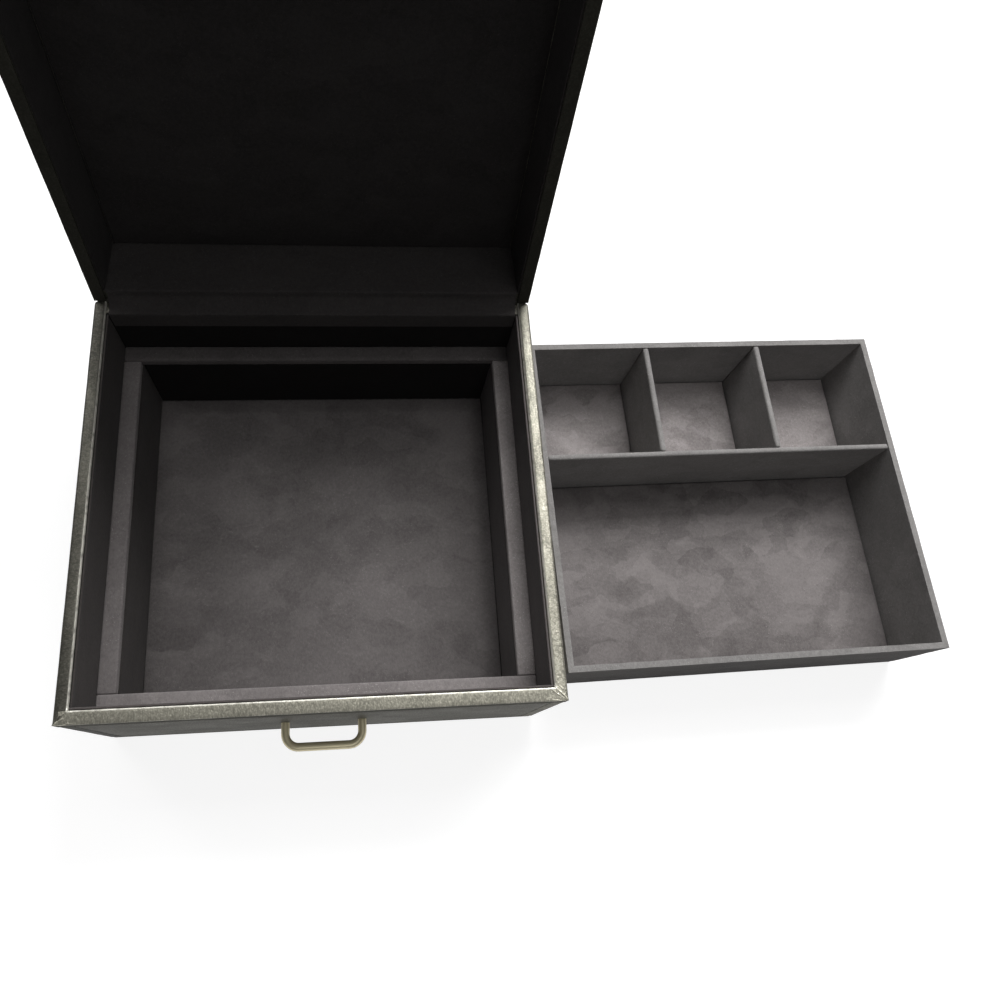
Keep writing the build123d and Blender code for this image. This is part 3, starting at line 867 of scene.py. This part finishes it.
class BOX_OT_drawer(bpy.types.Operator):
    """Covers the drawer's front in leather and its boards in suede"""

    bl_idname = "box.drawer"
    bl_label = "Drawer"

    def execute(self, context):
        low, high = node_span("drawer_front")
        cell = sizes().leather_cell
        piece = block("drawer_front_leather", low, high, (cell, 3 * MM, cell))
        rules = [(lambda m, w: near(m.y, low.y) and abs(w.x) > 0.9, 0.8)]
        cover(piece, rules, 0.2, CASE, "drawer", "leather_face", "drawer_front", FACE_WAVES)
        suede_board("drawer_left_side", CASE, "drawer", "suede_left")
        suede_board("drawer_right_side", CASE, "drawer", "suede_lining")
        suede_board("drawer_inner_front", CASE, "drawer", "suede_case")
        suede_board("drawer_back", CASE, "drawer", "suede_back")
        return {"FINISHED"}


class BOX_OT_linings(bpy.types.Operator):
    """Covers the linings and the ledge in suede"""

    bl_idname = "box.linings"
    bl_label = "Linings and ledge"

    def execute(self, context):
        for name, (lean, wall, ledge, lid) in LINED_SIDES.items():
            suede_board(f"case_{name}_lining", CASE, "case", wall, 0.42 * MM, lean)
            suede_board(f"ledge_{name}", CASE, "case", ledge, 1.0 * MM)
            suede_board(f"lid_{name}_lining", LID, "lid", lid, 0.45 * MM)
        return {"FINISHED"}


# How far the lining leans at its top, and the finishes of the lining, the ledge and the lid's lining
LINED_SIDES = {
    "left": ((0.5 * MM, 0, 0), "suede_left", "suede_ledge_left", "suede_lid"),
    "right": ((-0.5 * MM, 0, 0), "suede_lining", "suede_ledge_right", "suede_lid"),
    "front": ((0, 0.5 * MM, 0), "suede_lining", "suede_ledge", "suede_lid"),
    "back": (None, "suede_back", "suede_ledge_back", "suede_flap"),
}


class BOX_OT_tray(bpy.types.Operator):
    """Covers the lift-out tray's boards in suede"""

    bl_idname = "box.tray"
    bl_label = "Tray"

    def execute(self, context):
        walls = ("tray_left_side", "tray_right_side", "tray_front", "tray_back")
        spans = [node_span(node, TRAY) for node in walls]
        low = Vector(min(span[0][i] for span in spans) for i in range(3))
        high = Vector(max(span[1][i] for span in spans) for i in range(3))
        wall = spans[0][1].x - spans[0][0].x
        middle, half = (low + high) / 2, (high - low) / 2
        piece = ring("tray_walls_cloth", low, high, wall, sizes().suede_cell)
        outer = lambda m: all(near(abs(m[i] - middle[i]), half[i], 0.1 * MM) for i in (0, 1))
        soften(piece, sizes().suede_round, [
            (lambda m, w: abs(w.z) > 0.9 and outer(m), 2.3),
            (lambda m, w: abs(w.z) > 0.9, 0.3),
            (lambda m, w: near(m.z, low.z), 0.5),
        ], 1.0)
        uneven(piece, sizes().suede_wave * 2.2, 10 * MM)
        settle(piece, TRAY, "tray", "suede", "suede_tray", *walls)
        for name in ("row_divider", "left_divider", "right_divider", "bottom"):
            suede_board(f"tray_{name}", TRAY, "tray", "suede_tray")
        return {"FINISHED"}


# Each pad's frame, body, the side it faces (1 up, -1 down) and finish
PADS = {
    "drawer_pad": (CASE, "drawer", 1, "suede_case"),
    "tray_front_pad": (TRAY, "tray", 1, "suede_pad"),
    "tray_left_pad": (TRAY, "tray", 1, "suede_small"),
    "tray_middle_pad": (TRAY, "tray", 1, "suede_pale"),
    "tray_right_pad": (TRAY, "tray", 1, "suede_pale"),
    "lid_pad": (LID, "lid", -1, "suede_lid"),
}


class BOX_OT_pads(bpy.types.Operator):
    """Fills the soft panels of the drawer, the tray and the lid"""

    bl_idname = "box.pads"
    bl_label = "Pads"

    def execute(self, context):
        for node, (place, body, face, finish) in PADS.items():
            pad(node, place, body, face, finish)
        return {"FINISHED"}


# How far an unfilled pad lies below its CAD surface, how deep it is glued and the steps that fill it
PAD_SINKS, LID_PAD_SINKS = 0.9 * MM, 2.4 * MM
GLUED_DEPTH = 0.9 * MM
FILL_STEPS = 20


def pad(node, place, body, face, finish):
    """A foam panel under suede: filled by a cloth simulation and held where it is glued."""
    low, high = node_span(node, place)
    inset = Vector((0.05 * MM, 0.05 * MM, 0))
    low, high = low + inset, high - inset
    if face > 0:
        high.z -= PAD_SINKS
    else:
        low.z += LID_PAD_SINKS
    top, back = (high.z, low.z) if face > 0 else (low.z, high.z)
    cell = sizes().pad_cell
    piece = block(f"{node}_cloth", low, high, (cell, cell, (high.z - low.z) / 2))
    soften(piece, 0.8 * MM, [(lambda m, w: near(m.z, top), 1.0)], 0.3, 3)
    fill(piece, back)
    apply_modifier(piece, "SUBSURF", {"levels": 1, "render_levels": 1})
    uneven(piece, sizes().suede_wave, 12 * MM)
    settle(piece, place, body, "suede", finish, node)


def fill(piece, back):
    """Blows a pad up with the cloth simulation, with its glued side pinned and its rise capped."""
    only(piece)
    rest = np.array([v.co for v in piece.data.vertices])
    glued = piece.vertex_groups.new(name="glued")
    glued.add([i for i, p in enumerate(rest) if near(p[2], back, GLUED_DEPTH)], 1.0, "ADD")
    modifier = piece.modifiers.new("cloth", "CLOTH")
    cloth = modifier.settings
    cloth.quality = 5
    cloth.mass = 0.2
    cloth.tension_stiffness = 20
    cloth.compression_stiffness = 20
    cloth.bending_stiffness = 0.6
    cloth.use_pressure = True
    cloth.uniform_pressure_force = 4
    cloth.effector_weights.gravity = 0
    cloth.vertex_group_mass = "glued"
    modifier.point_cache.frame_start = 1
    modifier.point_cache.frame_end = FILL_STEPS
    scene = bpy.context.scene
    for step in range(1, FILL_STEPS + 1):
        scene.frame_set(step)
    bpy.ops.object.modifier_apply(modifier=modifier.name)
    scene.frame_set(1)
    moved = np.array([v.co for v in piece.data.vertices]) - rest
    length = np.linalg.norm(moved, axis=1, keepdims=True)
    capped = moved * np.minimum(1.0, sizes().pad_rise / np.maximum(length, 1e-9))
    capped[:, :2] *= 0.2  # so that it doesn't swell into its neighbours
    piece.data.vertices.foreach_set("co", (rest + capped).ravel())
    piece.data.update()


class BOX_OT_flap(bpy.types.Operator):
    """Lays the suede flap over the hinge"""

    bl_idname = "box.flap"
    bl_label = "Hinge flap"

    def execute(self, context):
        lower_low, lower_high = node_span("hinge_flap_lower")
        upper_low, upper_high = node_span("hinge_flap_upper", LID)
        half = sizes().flap_thickness / 2
        # The flap's middle line: up the case's lining, over its rim, round the valley and onto the lid's lining
        hang_y = lower_low.y + half
        rim_z = lower_high.z - half
        case_line = (hang_y, lower_low.z), (hang_y, rim_z), (HINGE.y - FLAP_LEAVES, rim_z)
        shut_y = upper_low.y + half
        shut_z = upper_low.z + half
        lid_line = (-FLAP_LEAVES, shut_z), (shut_y, shut_z), (shut_y, upper_high.z)
        points = [Vector((0, *point)) for point in case_line]
        points += [LID @ Vector((0, *point)) for point in lid_line]
        valley = sizes().flap_valley
        line = rounded(points, {1: FLAP_TURNS, 2: valley, 3: valley, 4: FLAP_TURNS}, 0.7 * MM)
        width = lower_high.x - lower_low.x
        piece, length = strip("hinge_flap", line, width, 160, sizes().flap_thickness, creases)
        paint(piece, "suede_flap")
        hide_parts("hinge_flap_lower", "hinge_flap_upper")
        over_hinge(piece, *FLAP_BENDS)
        return {"FINISHED"}


# How far before the pin the flap leaves the rims, the radius where it turns over them, and the points between
# which it would bend with the lid, which over_hinge is given but does not use
FLAP_LEAVES, FLAP_TURNS = 4 * MM, 1.0 * MM
FLAP_BENDS = (-0.5 * MM, -2.2 * MM), (0.2 * MM, 3.2 * MM)
# The cover's thickness, the glue under it, how far it stays in from each side and how far the pin reaches
COVER_THICK, COVER_GLUE, COVER_INSET, PIN_REACH = 0.5 * MM, 0.12 * MM, 1.3 * MM, 2.4 * MM


class BOX_OT_hinge_cover(bpy.types.Operator):
    """Glues a strip of leather over the back of the hinge"""

    bl_idname = "box.hinge_cover"
    bl_label = "Hinge cover"

    def execute(self, context):
        off = COVER_THICK / 2 + COVER_GLUE
        below = sizes().cover_reach
        last = LID @ Vector((0, off, PIN_REACH))
        line = rounded([
            HINGE + Vector((0, off, -below)),
            HINGE + Vector((0, off, -PIN_REACH)),
            last,
            LID @ Vector((0, off, below)),
        ], {1: 1.2 * MM, 2: 1.2 * MM}, 0.6 * MM)
        width = 2 * (node_span("case_right_side")[1].x - COVER_INSET)
        piece, length = strip("hinge_cover", line, width, 100, COVER_THICK)
        paint(piece, "leather_lid")
        over_hinge(piece, (off, -PIN_REACH), (last - HINGE)[1:])
        return {"FINISHED"}


def over_hinge(piece, start, end):
    """Bakes a strip's placement into its mesh. The two points between which it would bend with the lid's hinge,
    given by their Y and Z from the pin, are not used.
    """
    start, end = (HINGE + Vector((0, *point)) for point in (start, end))
    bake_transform(piece)


def strip(name, line, width, columns, thick, lift=None):
    """A strip of cloth or leather bent along a line, and its length. lift raises it off the line."""
    length = sum((b - a).length for a, b in zip(line, line[1:]))
    clear_selection()
    rows = len(line) - 1
    bpy.ops.mesh.primitive_grid_add(x_subdivisions=columns, y_subdivisions=rows, size=1)
    piece = bpy.context.object
    piece.name = piece.data.name = name
    points = np.array([v.co for v in piece.data.vertices])
    along = np.rint((points[:, 1] + 0.5) * rows).astype(int)
    track = np.array([list(p) for p in line])
    place = track[along]
    place[:, 0] = points[:, 0] * width
    if lift:
        normals = np.cross([1.0, 0, 0], np.gradient(track, axis=0))
        normals /= np.linalg.norm(normals, axis=1, keepdims=True)
        steps = np.r_[0, np.cumsum(np.linalg.norm(np.diff(track, axis=0), axis=1))]
        place += normals[along] * lift(place[:, 0], steps[along], length)[:, None]
    piece.data.vertices.foreach_set("co", place.ravel())
    piece.data.update()
    apply_modifier(piece, "SOLIDIFY", {"thickness": thick, "offset": 0.0})
    with editing():
        face_outwards()
    bpy.ops.object.shade_smooth_by_angle(angle=SMOOTH_BELOW)
    return piece, length


def creases(across, along, length):
    """How far the flap lifts: shallow folds that run beside the hinge and fan out towards its ends."""
    share = along / length
    middle = np.exp(-(((share - 0.5) / 0.20) ** 2))
    half = 0.116
    right = np.clip(across / half, -1, 1)
    fan = np.exp(-(((right - 0.78) / 0.16) ** 2)) + 0.5 * np.exp(-(((right + 0.82) / 0.12) ** 2))
    waves = np.sin(across * 260 + share * 9) * 0.35 + np.sin(across * 95 - share * 6 + 1.2) * 0.65
    folds = np.sin(share * 26 + across * 40) * fan
    return sizes().flap_crease * middle * (0.45 * waves + 0.9 * folds)


BEND_STEPS = 6


def rounded(points, radii, step):
    """A line through the points with its corners rounded, as points about a step apart."""
    made = []
    for i, point in enumerate(points):
        radius = radii.get(i)
        if not radius:
            made.append(point.copy())
            continue
        arms = points[i - 1] - point, points[i + 1] - point
        before, after = (arm.normalized() for arm in arms)
        half = before.angle(after) / 2
        reach = min(radius / math.tan(half), *(0.49 * arm.length for arm in arms))
        start, end = point + before * reach, point + after * reach
        for k in range(BEND_STEPS + 1):
            t = k / BEND_STEPS
            made.append(start * (1 - t) ** 2 + point * 2 * t * (1 - t) + end * t**2)
    spaced = [made[0]]
    for a, b in zip(made, made[1:]):
        count = max(1, round((b - a).length / step))
        spaced += [a.lerp(b, (k + 1) / count) for k in range(count)]
    return [p for i, p in enumerate(spaced) if i == 0 or (p - spaced[i - 1]).length > 1e-6]


class BOX_OT_handle(bpy.types.Operator):
    """Bends the rod of the drawer's handle"""

    bl_idname = "box.handle"
    bl_label = "Handle"

    def execute(self, context):
        low, high = node_span("handle")
        rod = (high.z - low.z) / 2
        bend = sizes().handle_bend
        leg = high.x - rod
        reach = low.y + rod
        middle = (low.z + high.z) / 2
        root = high.y
        clear_selection()
        bpy.ops.mesh.primitive_circle_add(
            vertices=28,
            radius=rod,
            location=(leg, root, middle),
            rotation=(math.pi / 2, 0, 0),
            fill_type="NGON",
        )
        piece = added("handle_loop", (1, 1, 1))
        with editing():
            take_all()
            run(0, -(root - reach - bend))
            turn(Vector((leg - bend, reach + bend, middle)))
            run(-2 * (leg - bend), 0)
            turn(Vector((bend - leg, reach + bend, middle)))
            run(0, root - reach - bend)
            bpy.ops.mesh.select_all(action="SELECT")
            bpy.ops.mesh.remove_doubles(threshold=SAME)
            face_outwards()
        settle(piece, CASE, "drawer", "brass", "brass", "handle")
        return {"FINISHED"}


def run(along_x, along_y):
    """In edit mode, draws the selected end of the rod out in a straight line."""
    bpy.ops.mesh.extrude_region_move(TRANSFORM_OT_translate={"value": (along_x, along_y, 0)})


def turn(center):
    """In edit mode, bends the selected end of the rod a quarter turn."""
    bpy.ops.mesh.spin(steps=10, angle=math.pi / 2, center=center, axis=(0, 0, 1))


class BOX_OT_felt(bpy.types.Operator):
    """Glues the sheet of felt under the case"""

    bl_idname = "box.felt"
    bl_label = "Felt"

    def execute(self, context):
        low, high = node_span("base_felt")
        piece = block("felt_sheet", low, high, (6 * MM, 6 * MM, 10 * MM))
        uneven(piece, 0.1 * MM, 8 * MM)
        settle(piece, CASE, "case", "felt", "felt", "base_felt")
        return {"FINISHED"}


class BOX_OT_hardware(bpy.types.Operator):
    """Gives the metalwork and the hidden boards their materials"""

    bl_idname = "box.hardware"
    bl_label = "Metalwork and boards"

    def execute(self, context):
        for finish, nodes in HIDDEN_LOOKS.items():
            for node in nodes:
                paint(frame["nodes"][node], finish)
        return {"FINISHED"}


HIDDEN_LOOKS = {
    "steel": (
        "handle_screws",
        "hinge_case_leaf",
        "hinge_lid_leaf",
        "hinge_pin",
        "hinge_case_screws",
        "hinge_lid_screws",
    ),
    "board": (
        "drawer_guide_left",
        "drawer_guide_right",
        "drawer_guide_back",
        "drawer_stops",
        "drawer_bottom",
    ),
    "leather_face": ("base_board",),
}

WHITE = (1, 1, 1, 1)
# Each lamp's place, size and power
LAMPS = {
    "window": ((0.72, 1.10, 1.3), (1.2, 0.9), 50.0),
    "side": ((-0.95, 0.85, 1.3), (0.5, 0.5), 7.0),
    "behind": ((0.0, 0.48, 1.3), (0.9, 0.3), 3.8),
    "ceiling": ((0.42, 0.05, 1.3), (0.5, 0.7), 1.6),
    "front": ((0.10, -0.90, 1.3), (0.6, 0.5), 3.0),
}
# The camera as it was fitted to the photograph: its angles in degrees, its lens and sensor in millimetres
CAMERA_PLACE = (0.02087, -0.15069, 0.51507)
CAMERA_ANGLES = (19.6348, -5.5510, -3.2402)
CAMERA_LENS, CAMERA_SENSOR = 29.3384, 36
CAMERA_SHIFT = (0.05225, -0.00529)
CAMERA_NEAREST = 10 * MM


class BOX_OT_stage(bpy.types.Operator):
    """Makes the floor, the lights and the camera"""

    bl_idname = "box.stage"
    bl_label = "Stage"

    def execute(self, context):
        clear_selection()
        bpy.ops.mesh.primitive_plane_add(size=8, location=(0.12, 0.0, 0))
        floor = context.object
        floor.name = "floor"
        floor.data.materials.append(floor_finish())
        context.scene.world = room()
        for name, (location, extent, power) in LAMPS.items():
            lamp(name, location, extent, power)
        context.scene.view_settings.view_transform = "Standard"
        bpy.ops.object.camera_add(location=CAMERA_PLACE)
        camera = context.object
        camera.name = "camera"
        camera.rotation_euler = [math.radians(a) for a in CAMERA_ANGLES]
        camera.data.sensor_width = CAMERA_SENSOR
        camera.data.sensor_fit = "HORIZONTAL"
        camera.data.lens = CAMERA_LENS
        camera.data.shift_x, camera.data.shift_y = CAMERA_SHIFT
        camera.data.clip_start = CAMERA_NEAREST
        context.scene.camera = camera
        return {"FINISHED"}


def lamp(name, location, extent, power):
    """A soft lamp that shines straight down."""
    bpy.ops.object.light_add(type="AREA", location=location)
    light = bpy.context.object
    light.name = name
    light.data.shape = "RECTANGLE"
    light.data.size, light.data.size_y = extent
    light.data.energy = power


def room():
    """A dim room that the camera sees as white, and glossy things as white walls under a dark ceiling."""
    sky = Finish("studio", bpy.data.worlds)
    direction = sky.node("ShaderNodeTexCoord", None, None, "Generated")
    rise = sky.node("ShaderNodeSeparateXYZ", None, {0: direction}, 2)
    walls = sky.node("ShaderNodeMapRange", None, {0: rise, 1: 0.05, 2: 0.4, 3: 0.55, 4: 0.0})
    shiny = sky.seen_by("Glossy").math("MAXIMUM", sky.seen_by("Transmission"))
    seen = (shiny * walls).math("MAXIMUM", sky.seen_by("Camera"))
    light = sky.node("ShaderNodeBackground", None, {"Color": WHITE, "Strength": seen + 0.012})
    sky.node("ShaderNodeOutputWorld", None, {"Surface": light})
    return sky.owner


def floor_finish():
    """A pale floor that the camera and glossy things see as white and that keeps the shadow."""
    finish = Finish("floor")
    tint = finish.noise(1.5, 2.0).between(0.3, 0.7)
    tone = finish.mixed(tint, (0.30, 0.30, 0.30), (0.31, 0.31, 0.31))
    ground = finish.node("ShaderNodeBsdfDiffuse", None, {"Color": tone})
    glow = finish.node("ShaderNodeEmission", None, {"Color": WHITE, "Strength": 0.86})
    seen = finish.seen_by("Camera") + finish.seen_by("Glossy") + finish.seen_by("Transmission")
    both = finish.node("ShaderNodeAddShader", None, {0: ground, 1: glow})
    surface = finish.node("ShaderNodeMixShader", None, {0: seen.clamped(), 1: ground, 2: both})
    finish.node("ShaderNodeOutputMaterial", None, {"Surface": surface})
    return finish.owner


class BOX_PT_panel(bpy.types.Panel):
    """Lists the box's pieces and their sizes"""

    bl_label = "Jewellery box"
    bl_idname = "BOX_PT_panel"
    bl_space_type = "VIEW_3D"
    bl_region_type = "UI"
    bl_category = "Jewellery box"

    def draw(self, context):
        for step in STEPS:
            self.layout.operator(step.bl_idname)
        for group in (context.scene.box_sizes, context.scene.box_colours):
            for name in group.bl_rna.properties.keys():
                if name not in ("rna_type", "name"):
                    self.layout.prop(group, name)


STEPS = (
    BOX_OT_stage,
    BOX_OT_leather_case,
    BOX_OT_leather_lid,
    BOX_OT_drawer,
    BOX_OT_linings,
    BOX_OT_tray,
    BOX_OT_pads,
    BOX_OT_flap,
    BOX_OT_hinge_cover,
    BOX_OT_handle,
    BOX_OT_felt,
    BOX_OT_hardware,
)
CLASSES = (BoxSizes, BoxColours, *STEPS, BOX_PT_panel)


def register():
    for cls in CLASSES:
        bpy.utils.register_class(cls)
    bpy.types.Scene.box_sizes = PointerProperty(type=BoxSizes)
    bpy.types.Scene.box_colours = PointerProperty(type=BoxColours)


def unregister():
    del bpy.types.Scene.box_colours
    del bpy.types.Scene.box_sizes
    for cls in reversed(CLASSES):
        bpy.utils.unregister_class(cls)


def main():
    register()
    bpy.ops.box.stage()
    bpy.ops.box.leather_case()
    bpy.ops.box.leather_lid()
    bpy.ops.box.drawer()
    bpy.ops.box.linings()
    bpy.ops.box.tray()
    bpy.ops.box.pads()
    bpy.ops.box.flap()
    bpy.ops.box.hinge_cover()
    bpy.ops.box.handle()
    bpy.ops.box.felt()
    bpy.ops.box.hardware()


if __name__ == "__main__":
    main()
